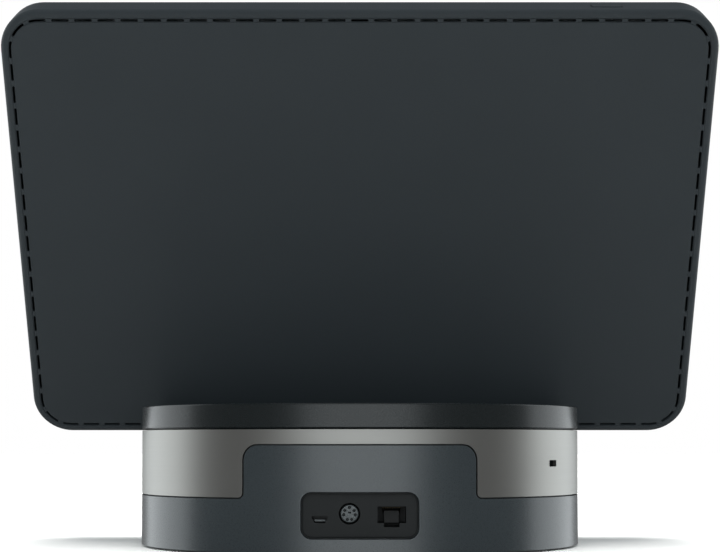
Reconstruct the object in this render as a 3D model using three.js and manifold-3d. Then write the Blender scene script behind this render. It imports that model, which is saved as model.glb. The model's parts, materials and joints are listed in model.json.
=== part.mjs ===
// Smart display: an 11.6 inch touch screen that tilts on an oval base with a metal band.
// Millimetres, +Z up. The screen looks towards -Y and the sockets are at the +Y side.
// The origin is on the table, under the centre of the base.
import * as THREE from "three";
import { mergeVertices } from "three/addons/utils/BufferGeometryUtils.js";
import Module from "manifold-3d";

const wasm = await Module();
wasm.setup();

// ---- driving dimensions ----
const gap = 0.3; // clearance between pieces that touch or nest
const seam = 0.6; // visible seam between the base's casings

const base = {
  halfWidth: 100.8,
  halfDepth: 90,
  power: 2.3, // exponent of the superellipse in plan
  bottom: 1, // the casing stands this far off the table, on its feet
  seamLow: 23.6, // between lower housing and band
  seamHigh: 52.8, // between band and cap
  top: 63.3,
  wall: 2,
  bandWall: 1.6,
  coreOuter: 2.3, // inset of the inner core's outer face
  coreInner: 3.8,
  plateThickness: 2,
};

const pod = { halfWidth: 48.9, top: 46, cornerRadius: 6.5, footRadius: 2.2 };

const recess = { width: 49.2, low: 6.9, high: 26.4, radius: 4.6, floor: 84, tray: 1.6, wall: 1 };

const sockets = {
  face: recess.floor - recess.tray - gap, // front plane of the sockets
  boardTop: 10.4,
  lan: { x: -13.3, low: 13.4, high: 20.3, width: 11.9, tabWidth: 6.4, tabLow: 11.7, depth: 12 },
  din: { x: 4.3, z: 17.3, bore: 4.5, core: 3.65, depth: 8 },
  usb: { x: 16.7, z: 14.9, width: 6.6, height: 2.9, depth: 7 },
};

const tilt = {
  restAngle: 27.4, // degrees the screen leans back at rest
  y: -36.9, // hinge axis
  z: 67.9,
};

// The screen's own frame has its origin on the hinge axis, +Y out of its back and +Z up the screen.
const screen = {
  halfWidth: 159.4,
  bottom: -13.5,
  top: 193.8,
  back: 9,
  front: -9,
  radius: 18,
  rearRound: 3,
  wall: 2.2,
  lip: 2, // thickness of the rear lip and of the back cover
  lipSet: 0.5, // the lip lies this far below the cover
  frontStep: 0.2,
};

const vents = { inset: 4.5, width: 1.1, length: 7.7, count: 98 };

const hinge = {
  x: 45, // distance of each arm from the middle
  armWidth: 5,
  eyeRadius: 6.2,
  neck: 9,
  pinRadius: 2.5,
  pinClearance: 0.2,
  footTop: 48.3,
  notchHalf: 3.2, // half the width of the slots that the arms pass through
};

const lead = { radius: 1.5, x: -8, notchHalf: 2.6 };

const screwHole = 1.9; // radius
const screwShank = 1.5;

const button = { x: -109.3, width: 13.4, depth: 5.2, y: -0.5, proud: 0.3, travel: 0.5, gap: 0.3 };

const securitySlot = { x: -83.8, y: 56.6, z: 37.9, turn: 52, width: 5.8, height: 2.8 };

const speaker = { x: 40, y: -70.5, turn: 17, width: 44, height: 17, z: 14 };

// ---- materials ----
const material = (color, roughness, metalness) =>
  new THREE.MeshStandardMaterial({ color, roughness, metalness });

const finishes = {
  darkPlastic: material(0x3a3f42, 0.45, 0),
  blackPlastic: material(0x1b1d1f, 0.6, 0),
  bandMetal: material(0x9b9d9a, 0.35, 0.9),
  glass: material(0x08090a, 0.08, 0),
  lcd: material(0x15181c, 0.3, 0),
  steel: material(0x8d9093, 0.4, 1),
  alloy: material(0xa9acad, 0.5, 0.9),
  board: material(0x1d4a33, 0.6, 0),
  gold: material(0xc9a24a, 0.3, 1),
  rubber: material(0x151515, 0.9, 0),
  paper: material(0x2a2623, 0.9, 0),
  lead: material(0x101010, 0.7, 0),
};

// ---- solids: three.js geometry in, three.js geometry out, joined and cut by manifold-3d ----
function solid(geometry) {
  const bare = new THREE.BufferGeometry();
  const loose = geometry.index ? geometry.toNonIndexed() : geometry;
  bare.setAttribute("position", loose.getAttribute("position").clone());
  const merged = mergeVertices(bare, 1e-4);
  return new wasm.Manifold(
    new wasm.Mesh({
      numProp: 3,
      vertProperties: merged.attributes.position.array,
      triVerts: new Uint32Array(merged.index.array),
    }),
  );
}

function geometryOf(body) {
  const mesh = body.getMesh();
  return new THREE.BufferGeometry()
    .setAttribute("position", new THREE.BufferAttribute(mesh.vertProperties, 3))
    .setIndex(new THREE.BufferAttribute(mesh.triVerts, 1));
}

const join = (...bodies) => bodies.reduce((a, b) => a.add(b));
const cut = (body, ...tools) => tools.reduce((a, b) => a.subtract(b), body);

// ---- plan outlines ----
function roundRect(x0, y0, x1, y1, radius) {
  const shape = new THREE.Shape();
  shape.moveTo(x0 + radius, y0);
  shape.lineTo(x1 - radius, y0);
  shape.absarc(x1 - radius, y0 + radius, radius, -Math.PI / 2, 0);
  shape.lineTo(x1, y1 - radius);
  shape.absarc(x1 - radius, y1 - radius, radius, 0, Math.PI / 2);
  shape.lineTo(x0 + radius, y1);
  shape.absarc(x0 + radius, y1 - radius, radius, Math.PI / 2, Math.PI);
  shape.lineTo(x0, y0 + radius);
  shape.absarc(x0 + radius, y0 + radius, radius, Math.PI, 1.5 * Math.PI);
  return shape;
}

function polygon(points) {
  return new THREE.Shape(points.map(([x, y]) => new THREE.Vector2(x, y)));
}

// The base's superellipse, moved inwards by inset.
function oval(inset, steps = 48) {
  const e = 2 / base.power;
  const points = [];
  for (let i = 0; i < steps; i++) {
    const angle = (i / steps) * 2 * Math.PI;
    const c = Math.cos(angle);
    const s = Math.sin(angle);
    points.push([
      Math.sign(c) * Math.abs(c) ** e * (base.halfWidth - inset),
      Math.sign(s) * Math.abs(s) ** e * (base.halfDepth - inset),
    ]);
  }
  return polygon(points);
}

// ---- prisms along each axis ----
const upZ = (shape, z0, z1, curveSegments = 4) =>
  solid(
    new THREE.ExtrudeGeometry(shape, { depth: z1 - z0, bevelEnabled: false, curveSegments })
      .translate(0, 0, z0),
  );

// The shape is drawn in X and Z.
const alongY = (shape, y0, y1, curveSegments = 4) =>
  solid(
    new THREE.ExtrudeGeometry(shape, { depth: y1 - y0, bevelEnabled: false, curveSegments })
      .rotateX(Math.PI / 2)
      .translate(0, y1, 0),
  );

// The shape is drawn in Y and Z.
const towardsX = new THREE.Matrix4().makeBasis(
  new THREE.Vector3(0, 1, 0),
  new THREE.Vector3(0, 0, 1),
  new THREE.Vector3(1, 0, 0),
);
const alongX = (shape, x0, x1, curveSegments = 8) =>
  solid(
    new THREE.ExtrudeGeometry(shape, { depth: x1 - x0, bevelEnabled: false, curveSegments })
      .applyMatrix4(towardsX)
      .translate(x0, 0, 0),
  );

function block(x0, x1, y0, y1, z0, z1) {
  return solid(
    new THREE.BoxGeometry(x1 - x0, y1 - y0, z1 - z0)
      .translate((x0 + x1) / 2, (y0 + y1) / 2, (z0 + z1) / 2),
  );
}

const rodZ = (radius, x, y, z0, z1, sides = 12) =>
  solid(
    new THREE.CylinderGeometry(radius, radius, z1 - z0, sides)
      .rotateX(Math.PI / 2)
      .translate(x, y, (z0 + z1) / 2),
  );
const rodY = (radius, x, z, y0, y1, sides = 16) =>
  solid(new THREE.CylinderGeometry(radius, radius, y1 - y0, sides).translate(x, (y0 + y1) / 2, z));
const rodX = (radius, y, z, x0, x1, sides = 16) =>
  solid(
    new THREE.CylinderGeometry(radius, radius, x1 - x0, sides)
      .rotateZ(Math.PI / 2)
      .translate((x0 + x1) / 2, y, z),
  );

const ring = (outer, inner, z0, z1) => cut(upZ(oval(outer), z0, z1), upZ(oval(inner), z0 - 1, z1 + 1));

// ---- the exported scene ----
const display = new THREE.Group();
const add = (name, body, finish, parent = display) => {
  const mesh = new THREE.Mesh(geometryOf(body), finish);
  mesh.name = name;
  parent.add(mesh);
  return mesh;
};

const screenGroup = new THREE.Group();
screenGroup.position.set(0, tilt.y, tilt.z);
screenGroup.rotation.x = -THREE.MathUtils.degToRad(tilt.restAngle);
display.add(screenGroup);

// ---- base casings ----
// Outline of the raised pod at the back of the lower housing, drawn in X and Z, grown by g.
function podOutline(g) {
  const w = pod.halfWidth + g;
  const top = pod.top + g;
  const foot = base.seamLow + g;
  const r = pod.cornerRadius + g;
  const f = pod.footRadius - g;
  const shape = new THREE.Shape();
  shape.moveTo(-w - f, foot - 4);
  shape.lineTo(w + f, foot - 4);
  shape.lineTo(w + f, foot);
  shape.absarc(w + f, foot + f, f, 1.5 * Math.PI, Math.PI, true);
  shape.lineTo(w, top - r);
  shape.absarc(w - r, top - r, r, 0, Math.PI / 2);
  shape.lineTo(-w + r, top);
  shape.absarc(-w + r, top - r, r, Math.PI / 2, Math.PI);
  shape.lineTo(-w, foot + f);
  shape.absarc(-w - f, foot + f, f, 0, -Math.PI / 2, true);
  return shape;
}

const recessOutline = (shrink) =>
  roundRect(
    -recess.width / 2 + shrink,
    recess.low + shrink,
    recess.width / 2 - shrink,
    recess.high - shrink,
    recess.radius - shrink,
  );

// Slots for sound in the front of the lower housing, on each side of the middle.
const soundSlots = {
  rows: [8.5, 12.5, 16.5],
  first: 19.5,
  pitch: 10,
  perRow: 5,
  length: 7.6,
  height: 1.2,
};
function soundCutters(y0, y1) {
  const cutters = [];
  for (const side of [-1, 1])
    for (const z of soundSlots.rows)
      for (let i = 0; i < soundSlots.perRow; i++) {
        const x = side * (soundSlots.first + i * soundSlots.pitch);
        const half = soundSlots.length / 2;
        const rise = soundSlots.height / 2;
        cutters.push(block(x - half, x + half, y0, y1, z - rise, z + rise));
      }
  return cutters;
}

function lowerHousing() {
  const skirt = ring(0, base.wall, base.bottom, base.seamLow - seam / 2);
  const raised = ring(0, base.wall, base.seamLow - 3, pod.top + 1).intersect(
    alongY(podOutline(-seam / 2), 20, base.halfDepth + 5),
  );
  return cut(join(skirt, raised), alongY(recessOutline(0), 60, base.halfDepth + 5), ...soundCutters(-95, -60));
}

// A block at the security slot, with its faces square to the oval there.
function slotBlock(width, height, from, to) {
  const turned = new THREE.BoxGeometry(width, to - from, height)
    .translate(0, (from + to) / 2, 0)
    .rotateZ(THREE.MathUtils.degToRad(securitySlot.turn))
    .translate(securitySlot.x, securitySlot.y, securitySlot.z);
  return solid(turned);
}

const bandShell = () =>
  cut(
    ring(0, base.bandWall, base.seamLow + seam / 2, base.seamHigh - 0.4),
    alongY(podOutline(seam / 2), 20, base.halfDepth + 5),
    slotBlock(securitySlot.width, securitySlot.height, -6, 4),
  );

const capFront = -26.5;
function topCap() {
  const front = block(-110, 110, capFront, 110, 0, 100);
  const outer = join(
    upZ(oval(0), base.seamHigh + 0.4, base.top),
    upZ(oval(0.8), base.seamHigh - 0.1, base.seamHigh + 1),
  ).intersect(front);
  const hollow = upZ(oval(2), base.seamHigh - 1, base.top - 2).intersect(
    block(-110, 110, capFront + 2, 110, 0, 100),
  );
  return cut(outer, hollow);
}

function armSlot(side) {
  const x = side * hinge.x;
  return block(x - hinge.notchHalf, x + hinge.notchHalf, tilt.y - 5.3, tilt.y + 5.3, 40, 60);
}

function topDeck() {
  const plate = upZ(oval(base.bandWall + gap), base.seamHigh - 2.8, base.seamHigh - 0.8);
  const n = lead.notchHalf;
  const leadHole = block(lead.x - n, lead.x + n, tilt.y - n, tilt.y + n, 40, 60);
  return cut(plate, armSlot(-1), armSlot(1), leadHole);
}

function innerCore() {
  return cut(
    ring(base.coreOuter, base.coreInner, base.bottom + base.plateThickness + gap, base.seamHigh - 3.1),
    block(-recess.width / 2 - 1, recess.width / 2 + 1, 60, 100, recess.low - 1, recess.high + 1),
    slotBlock(securitySlot.width + 3, securitySlot.height + 3, -9, 4),
    ...[-1, 1].map((side) =>
      block(side > 0 ? 14 : -64, side > 0 ? 64 : -14, -100, -45, 6.5, 18.5),
    ),
  );
}

const screwSpots = [
  [-62, -36],
  [62, -36],
  [-62, 40],
  [62, 40],
];
const footSpots = [
  [-58, -60],
  [58, -60],
  [-58, 60],
  [58, 60],
];

function basePlate() {
  const inset = base.wall + gap;
  const plate = upZ(oval(inset), base.bottom, base.bottom + base.plateThickness);
  const wells = footSpots.map(([x, y]) => rodZ(8.3, x, y, base.bottom - 1, base.bottom + 1));
  const holes = screwSpots.map(([x, y]) => rodZ(screwHole, x, y, 0, 5));
  const sinks = screwSpots.map(([x, y]) => rodZ(3.4, x, y, 0, base.bottom + 1.2));
  return cut(plate, ...wells, ...holes, ...sinks);
}

add("lower_housing", lowerHousing(), finishes.darkPlastic);
add("metal_band", bandShell(), finishes.bandMetal);
add("top_cap", topCap(), finishes.darkPlastic);
add("top_deck", topDeck(), finishes.darkPlastic);
add("inner_core", innerCore(), finishes.blackPlastic);
add("base_plate", basePlate(), finishes.blackPlastic);

footSpots.forEach(([x, y], i) =>
  add(`foot_${i + 1}`, rodZ(8, x, y, 0, base.bottom + 1 - gap, 18), finishes.rubber),
);

// ---- base frame, ballast and screws ----
const ballast = { low: 3.3, high: 7.3 };
const frame = { legX: 58, low: 7.6, sheet: 2, top: 46, front: -43, back: 46 };

function ballastPlate() {
  const plate = upZ(oval(13), ballast.low, ballast.high).intersect(block(-90, 90, -45, 90, 0, 20));
  const holes = screwSpots.map(([x, y]) => rodZ(screwHole, x, y, 0, 20));
  return cut(plate, ...holes);
}

// Inverted U of folded sheet with an outward foot along each side.
function chassis() {
  const { legX, low, sheet, top, front, back } = frame;
  const roof = block(-legX, legX, front, back, top - sheet, top);
  const legs = [-1, 1].map((side) => {
    const x0 = side > 0 ? legX - sheet : -legX;
    return block(x0, x0 + sheet, front, back, low, top);
  });
  const feet = [-1, 1].map((side) => {
    const x0 = side > 0 ? legX - sheet : -legX - 9;
    return block(x0, x0 + sheet + 9, front, back, low, low + sheet);
  });
  const holes = screwSpots.map(([x, y]) => rodZ(screwHole, x, y, 0, 20));
  const passage = block(lead.x - 6, lead.x + 6, tilt.y - 6, tilt.y + 6, 40, 50);
  const armHoles = armScrewSpots.map(([x, y]) => rodZ(screwHole, x, y, 40, 50));
  return cut(join(roof, ...legs, ...feet), ...holes, passage, ...armHoles);
}

const armScrewSpots = [-1, 1].flatMap((side) => [
  [side * hinge.x - side * 7.5, tilt.y],
  [side * hinge.x + side * 7.5, tilt.y],
]);

// Countersunk from below: head in the plate's sink, shank up through ballast and chassis foot.
function baseScrew(x, y) {
  return join(
    rodZ(3, x, y, base.bottom + 0.2, base.bottom + 1.0),
    rodZ(screwShank, x, y, base.bottom + 0.8, frame.low + frame.sheet + 1.5, 8),
  );
}

add("ballast_plate", ballastPlate(), finishes.steel);
add("chassis", chassis(), finishes.steel);
screwSpots.forEach(([x, y], i) => add(`base_screw_${i + 1}`, baseScrew(x, y), finishes.steel));

// ---- hinge, base side ----
function hingeArm(side) {
  const x = side * hinge.x;
  const x0 = x - hinge.armWidth / 2;
  const x1 = x0 + hinge.armWidth;
  const half = hinge.neck / 2;
  const eye = rodX(hinge.eyeRadius, tilt.y, tilt.z, x0, x1, 20);
  const neck = block(x0, x1, tilt.y - half, tilt.y + half, frame.top + gap, tilt.z);
  const foot = block(x - 11, x + 11, tilt.y - 6, tilt.y + 6, frame.top + gap, hinge.footTop);
  const holes = armScrewSpots.map(([x, y]) => rodZ(screwHole, x, y, 40, 60));
  const bore = rodX(hinge.pinRadius + hinge.pinClearance, tilt.y, tilt.z, x0 - 1, x1 + 1);
  return cut(join(eye, neck, foot), bore, ...holes);
}

const armScrew = (x, y) =>
  join(
    rodZ(2.8, x, y, hinge.footTop + gap, hinge.footTop + 1.1),
    rodZ(screwShank, x, y, frame.top - 4, hinge.footTop + 1, 8),
  );

add("hinge_arm_left", hingeArm(1), finishes.steel);
add("hinge_arm_right", hingeArm(-1), finishes.steel);
armScrewSpots.forEach(([x, y], i) => add(`arm_screw_${i + 1}`, armScrew(x, y), finishes.steel));

// ---- sockets and their board ----
function lanOpening(grow) {
  const { x, low, high, width, tabWidth, tabLow } = sockets.lan;
  const w = width / 2 + grow;
  const t = tabWidth / 2 + grow;
  return polygon([
    [x - w, low - grow],
    [x - t, low - grow],
    [x - t, tabLow - grow],
    [x + t, tabLow - grow],
    [x + t, low - grow],
    [x + w, low - grow],
    [x + w, high + grow],
    [x - w, high + grow],
  ]);
}

function usbOpening(grow) {
  const { x, z, width, height } = sockets.usb;
  const w = width / 2 + grow;
  const h = height / 2 + grow;
  const narrow = 0.9;
  return polygon([
    [x - w + narrow, z - h],
    [x + w - narrow, z - h],
    [x + w - narrow, z - h / 4],
    [x + w, z + h / 8],
    [x + w, z + h],
    [x - w, z + h],
    [x - w, z + h / 8],
    [x - w + narrow, z - h / 4],
  ]);
}

function socketTray() {
  const { floor, tray, wall } = recess;
  const outer = alongY(recessOutline(gap), floor - tray, base.halfDepth + 2);
  const pocket = alongY(recessOutline(gap + wall), floor, base.halfDepth + 3);
  const trimmed = cut(outer, pocket).intersect(upZ(oval(0.8), 0, 60));
  return cut(
    trimmed,
    alongY(lanOpening(0), floor - 4, floor + 1),
    alongY(usbOpening(0), floor - 4, floor + 1),
    rodY(sockets.din.bore, sockets.din.x, sockets.din.z, floor - 4, floor + 1, 20),
  );
}

function lanJack() {
  const { x, depth } = sockets.lan;
  const body = block(x - 8, x + 8, sockets.face - 18, sockets.face, sockets.boardTop + gap, 23.6);
  return cut(body, alongY(lanOpening(0), sockets.face - depth, sockets.face + 1));
}

// Eight spring contacts that slope down from the roof of the opening, on a common strip at the back.
function lanContacts() {
  const { x, high, depth } = sockets.lan;
  const back = sockets.face - depth + gap;
  const pitch = 1.02;
  const strip = block(x - 4.2, x + 4.2, back, back + 0.8, high - 3.2, high - 2);
  const slope = polygon([
    [back + 0.2, high - 3],
    [back + 0.6, high - 3.1],
    [back + 6.5, high - 0.9],
    [back + 6.5, high - 0.5],
  ]);
  const fingers = Array.from({ length: 8 }, (_, i) => {
    const at = x + (i - 3.5) * pitch;
    return alongX(slope, at - 0.2, at + 0.2);
  });
  return join(strip, ...fingers);
}

function dinHousing() {
  const { x, z, bore, depth } = sockets.din;
  const body = block(x - 6.6, x + 6.6, sockets.face - 12, sockets.face, sockets.boardTop + gap, 23.4);
  return cut(body, rodY(bore, x, z, sockets.face - depth, sockets.face + 1, 20));
}

// Seven contact holes round a small key slot in the middle.
function dinCore() {
  const { x, z, core, depth } = sockets.din;
  const spots = [
    [0, 2.6],
    [-1.95, 1.4],
    [1.95, 1.4],
    [-2.4, -0.45],
    [2.4, -0.45],
    [-0.9, -2.35],
    [0.9, -2.35],
  ];
  const front = recess.floor - 0.2;
  const body = rodY(core, x, z, sockets.face - depth + gap, front, 20);
  const holes = spots.map(([dx, dz]) => rodY(0.5, x + dx, z + dz, front - 5, front + 1, 8));
  const key = block(x - 0.45, x + 0.45, front - 5, front + 1, z + 0.2, z + 0.8);
  return cut(body, ...holes, key);
}

function usbShell() {
  const { x, z, depth } = sockets.usb;
  const back = sockets.face - depth - 1;
  const shell = cut(
    alongY(usbOpening(0.4), back, sockets.face),
    alongY(usbOpening(0), back + 1, sockets.face + 1),
  );
  const legs = [-1, 1].map((side) => {
    const x0 = side > 0 ? x + 2.1 : x - 2.7;
    return block(x0, x0 + 0.6, back + 1, sockets.face - 1, sockets.boardTop + gap, z - 1.6);
  });
  return join(shell, ...legs);
}

const usbTongue = () => {
  const { x, z, depth } = sockets.usb;
  return block(x - 2.2, x + 2.2, sockets.face - depth + gap, sockets.face - 0.8, z - 0.85, z - 0.15);
};

add("socket_tray", socketTray(), finishes.blackPlastic);
add("lan_socket", lanJack(), finishes.blackPlastic);
add("lan_contacts", lanContacts(), finishes.gold);
add("din_socket", dinHousing(), finishes.blackPlastic);
add("din_core", dinCore(), finishes.darkPlastic);
add("usb_socket", usbShell(), finishes.steel);
add("usb_tongue", usbTongue(), finishes.blackPlastic);
const socketBoard = () =>
  block(-30, 30, 44, sockets.face - 0.5, sockets.boardTop - 1.6, sockets.boardTop);
add("socket_board", socketBoard(), finishes.board);

// Steel plate behind the security slot, where a lock's head turns.
const lockPlate = () => {
  const inner = base.coreInner + 1.2;
  return cut(
    slotBlock(20, 14, -inner - 2, -inner),
    slotBlock(securitySlot.width, securitySlot.height, -20, 4),
  );
};
add("lock_plate", lockPlate(), finishes.steel);

// ---- speakers: an oblong driver and its box on each side of the middle, behind the sound slots ----
function stadium(width, height) {
  return roundRect(-width / 2, -height / 2, width / 2, height / 2, height / 2 - 0.01);
}

function speakerPieces(side) {
  const { width, height } = speaker;
  const basket = cut(
    alongY(stadium(width, height), 0, 3),
    alongY(stadium(width - 5, height - 5), -1, 4),
  );
  const dished = cut(
    alongY(stadium(width - 5.6, height - 5.6), 0.4, 2.4),
    alongY(stadium(width - 16, height - 11), -1, 1.2),
  );
  const motor = rodY(5.5, 0, 0, 3.3, 8);
  const shell = cut(
    block(-width / 2 - 1, width / 2 + 1, 3.3, 18, -height / 2 - 1, height / 2 + 1),
    block(-width / 2 + 1, width / 2 - 1, 3, 16, -height / 2 + 1, height / 2 - 1),
  );
  const name = side > 0 ? "left" : "right";
  const group = new THREE.Group();
  group.position.set(side * speaker.x, speaker.y, speaker.z);
  group.rotation.z = THREE.MathUtils.degToRad(side * speaker.turn);
  display.add(group);
  add(`speaker_basket_${name}`, basket, finishes.blackPlastic, group);
  add(`speaker_cone_${name}`, dished, finishes.paper, group);
  add(`speaker_magnet_${name}`, motor, finishes.steel, group);
  add(`speaker_box_${name}`, shell, finishes.blackPlastic, group);
}
speakerPieces(1);
speakerPieces(-1);

// ---- screen casings, in the screen's own frame ----
const screenOutline = (inset) =>
  roundRect(
    -screen.halfWidth + inset,
    screen.bottom + inset,
    screen.halfWidth - inset,
    screen.top - inset,
    screen.radius - inset,
  );

// Rounded at the back edge by the extrusion's bevel, flat at the front.
function roundedBody() {
  const r = screen.rearRound;
  const back = screen.back - screen.lipSet;
  const depth = back - screen.front + 2 * r;
  const body = new THREE.ExtrudeGeometry(screenOutline(0), {
    depth: depth - 2 * r,
    bevelEnabled: true,
    bevelThickness: r,
    bevelSize: r,
    bevelOffset: -r,
    bevelSegments: 4,
    curveSegments: 8,
  })
    .rotateX(Math.PI / 2)
    .translate(0, back - r, 0);
  return solid(body).intersect(block(-200, 200, screen.front, 20, -50, 250));
}

// Room for the two hinge arms and the lead as the screen tilts.
const hingeNotches = () =>
  [
    [hinge.x, hinge.notchHalf],
    [-hinge.x, hinge.notchHalf],
    [lead.x, lead.notchHalf],
  ].map(([x, half]) => block(x - half, x + half, -3.4, 20, -30, 0.2));

const topWall = { outer: screen.top, inner: screen.top - screen.wall }; // above the button

function screenFrame() {
  const lipFront = screen.back - screen.lipSet - screen.lip;
  const inside = alongY(screenOutline(screen.wall), screen.front - 5, lipFront, 8);
  const rearOpening = alongY(screenOutline(vents.inset - vents.width / 2), -20, 30, 8);
  const buttonHole = block(
    button.x - button.width / 2 - button.gap,
    button.x + button.width / 2 + button.gap,
    button.y - button.depth / 2 - button.gap,
    button.y + button.depth / 2 + button.gap,
    topWall.inner - 2,
    topWall.outer + 5,
  );
  return cut(roundedBody(), inside, rearOpening, buttonHole, ...hingeNotches());
}

// The rounded rectangle of the vents, anticlockwise from the middle of the bottom edge.
function ventPath() {
  const path = new THREE.CurvePath();
  const i = vents.inset;
  const { halfWidth: w, bottom, top, radius } = screen;
  const r = radius - i;
  const corner = (cx, cz, from) => {
    const arc = new THREE.EllipseCurve(cx, cz, r, r, from, from + Math.PI / 2);
    path.add(arc);
  };
  const line = (x0, z0, x1, z1) =>
    path.add(new THREE.LineCurve(new THREE.Vector2(x0, z0), new THREE.Vector2(x1, z1)));
  line(0, bottom + i, w - radius, bottom + i);
  corner(w - radius, bottom + radius, -Math.PI / 2);
  line(w - i, bottom + radius, w - i, top - radius);
  corner(w - radius, top - radius, 0);
  line(w - radius, top - i, -w + radius, top - i);
  corner(-w + radius, top - radius, Math.PI / 2);
  line(-w + i, top - radius, -w + i, bottom + radius);
  corner(-w + radius, bottom + radius, Math.PI);
  line(-w + radius, bottom + i, 0, bottom + i);
  return path;
}

function ventCutters() {
  const path = ventPath();
  return Array.from({ length: vents.count }, (_, i) => {
    const u = i / vents.count;
    const at = path.getPointAt(u);
    const heading = path.getTangentAt(u);
    const geometry = new THREE.BoxGeometry(vents.length, 20, vents.width + 0.2)
      .rotateY(-Math.atan2(heading.y, heading.x))
      .translate(at.x, screen.back, at.y);
    return solid(geometry);
  });
}

function backCover() {
  const edge = vents.inset - vents.width / 2 + gap;
  const plate = alongY(screenOutline(edge), screen.back - screen.lip, screen.back, 8);
  return cut(plate, ...ventCutters(), ...hingeNotches());
}

function frontGlass() {
  const inset = screen.wall + gap;
  return alongY(screenOutline(inset), screen.front + screen.frontStep, screen.front + 1.8, 8);
}

add("screen_frame", screenFrame(), finishes.darkPlastic, screenGroup);
add("back_cover", backCover(), finishes.darkPlastic, screenGroup);
add("front_glass", frontGlass(), finishes.glass, screenGroup);

// ---- inside the screen ----
const lcd = { halfWidth: 134, low: 11.5, high: 168.5, back: -3.1, front: -6.9 };
const lcdPanel = () => block(-lcd.halfWidth, lcd.halfWidth, lcd.front, lcd.back, lcd.low, lcd.high);
add("lcd_panel", lcdPanel(), finishes.lcd, screenGroup);

const midPlate = () =>
  cut(
    alongY(roundRect(-152, 9, 152, 187, 12), -2.8, -1.8),
    block(-6, 6, -10, 5, 172, 200),
  );
add("mid_plate", midPlate(), finishes.alloy, screenGroup);

add("main_board", block(-75, 75, 2.5, 4.1, 48, 128), finishes.board, screenGroup);
add("heat_spreader", block(-55, 45, 4.4, 6.6, 60, 118), finishes.alloy, screenGroup);
[-1, 1].forEach((side) =>
  add(
    side > 0 ? "antenna_left" : "antenna_right",
    block(side * 118 - 22, side * 118 + 22, 2.5, 3.5, 172, 180),
    finishes.board,
    screenGroup,
  ),
);

const camera = { z: 178 };
const cameraModule = () =>
  join(block(-4.5, 4.5, -3.6, 1, camera.z - 4.5, camera.z + 4.5), rodY(3.2, 0, camera.z, -6.0, -3.4));
add("camera_module", cameraModule(), finishes.blackPlastic, screenGroup);
add("camera_lens", rodY(2.2, 0, camera.z, -6.9, -6.3), finishes.glass, screenGroup);

// Display side of each hinge: two ears on the pin and a plate fixed to the mid plate.
function hingeBracket(side) {
  const x = side * hinge.x;
  const reach = hinge.armWidth / 2 + 0.4;
  const ears = [-1, 1].flatMap((end) => {
    const x0 = end > 0 ? x + reach : x - reach - 2.5;
    return [rodX(5, 0, 0, x0, x0 + 2.5), block(x0, x0 + 2.5, -1.4, 2.2, 0, 16)];
  });
  const plate = block(x - reach - 2.5, x + reach + 2.5, -1.4, 0.6, 12, 40);
  const bore = rodX(hinge.pinRadius + 0.1, 0, 0, x - 10, x + 10);
  return cut(join(...ears, plate), bore);
}
const hingePin = (side) => {
  const x = side * hinge.x;
  return join(rodX(hinge.pinRadius - 0.2, 0, 0, x - 6.5, x + 6.2), rodX(4, 0, 0, x + 6.0, x + 7.5));
};
add("hinge_bracket_left", hingeBracket(1), finishes.steel, screenGroup);
add("hinge_bracket_right", hingeBracket(-1), finishes.steel, screenGroup);
add("hinge_pin_left", hingePin(1), finishes.steel, screenGroup);
add("hinge_pin_right", hingePin(-1), finishes.steel, screenGroup);

// ---- power button in the top wall, and the switch under it ----
function powerButton() {
  const cap = block(
    button.x - button.width / 2,
    button.x + button.width / 2,
    button.y - button.depth / 2,
    button.y + button.depth / 2,
    topWall.inner - 0.8,
    topWall.outer + button.proud,
  );
  const flange = block(
    button.x - button.width / 2 - 1.2,
    button.x + button.width / 2 + 1.2,
    button.y - button.depth / 2 - 1,
    button.y + button.depth / 2 + 1,
    topWall.inner - 1.3,
    topWall.inner - gap,
  );
  const pusher = block(
    button.x - 1.5,
    button.x + 1.5,
    button.y - 1.5,
    button.y + 1.5,
    topWall.inner - 2.2,
    topWall.inner - 1,
  );
  return join(cap, flange, pusher);
}
add("power_button", powerButton(), finishes.darkPlastic, screenGroup);

const switchTop = topWall.inner - 2.2 - button.travel - 0.2;
const powerSwitch = () =>
  join(
    block(button.x - 3, button.x + 3, button.y - 1.2, button.y + 1.8, switchTop - 2, switchTop),
    block(button.x - 7, button.x + 7, button.y - 1.2, button.y + 1.8, switchTop - 3.2, switchTop - 1.8),
  );
add("power_switch", powerSwitch(), finishes.blackPlastic, screenGroup);

// ---- the lead from base to screen, which passes the tilt along the hinge axis, where it only twists ----
function leadAlong(points, steps) {
  const spots = points.map((p) => new THREE.Vector3(...p));
  const curve = new THREE.CatmullRomCurve3(spots, false, "centripetal");
  const section = new THREE.Shape();
  section.absarc(0, 0, lead.radius, 0, 2 * Math.PI);
  return solid(
    new THREE.ExtrudeGeometry(section, {
      steps,
      curveSegments: 4,
      extrudePath: curve,
      bevelEnabled: false,
    }),
  );
}

const lowerLead = () =>
  leadAlong(
    [
      [-20, 50, 12.3],
      [-20, 40, 12.3],
      [-19, 22, 13],
      [-14, 0, 18],
      [-9, -24, 28],
      [lead.x, tilt.y, 40],
      [lead.x, tilt.y, 50],
      [lead.x, tilt.y, 59],
      [lead.x + 1.8, tilt.y, tilt.z - 2.2],
      [lead.x + 5, tilt.y, tilt.z],
      [lead.x + 8, tilt.y, tilt.z],
    ],
    30,
  );
const upperLead = () =>
  leadAlong(
    [
      [0.5, 0, 0],
      [3.5, 0, 0],
      [7.5, 0, 2.4],
      [9.5, 0, 8],
      [10, 0.1, 20],
      [10, 0.2, 32],
      [10, 0.2, 41],
      [10, 0.2, 46],
    ],
    18,
  );
add("lead_lower", lowerLead(), finishes.lead);
add("lead_upper", upperLead(), finishes.lead, screenGroup);

export default display;
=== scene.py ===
import bisect
import json
import math

import bmesh
import bpy
from mathutils import Matrix, Vector


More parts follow.
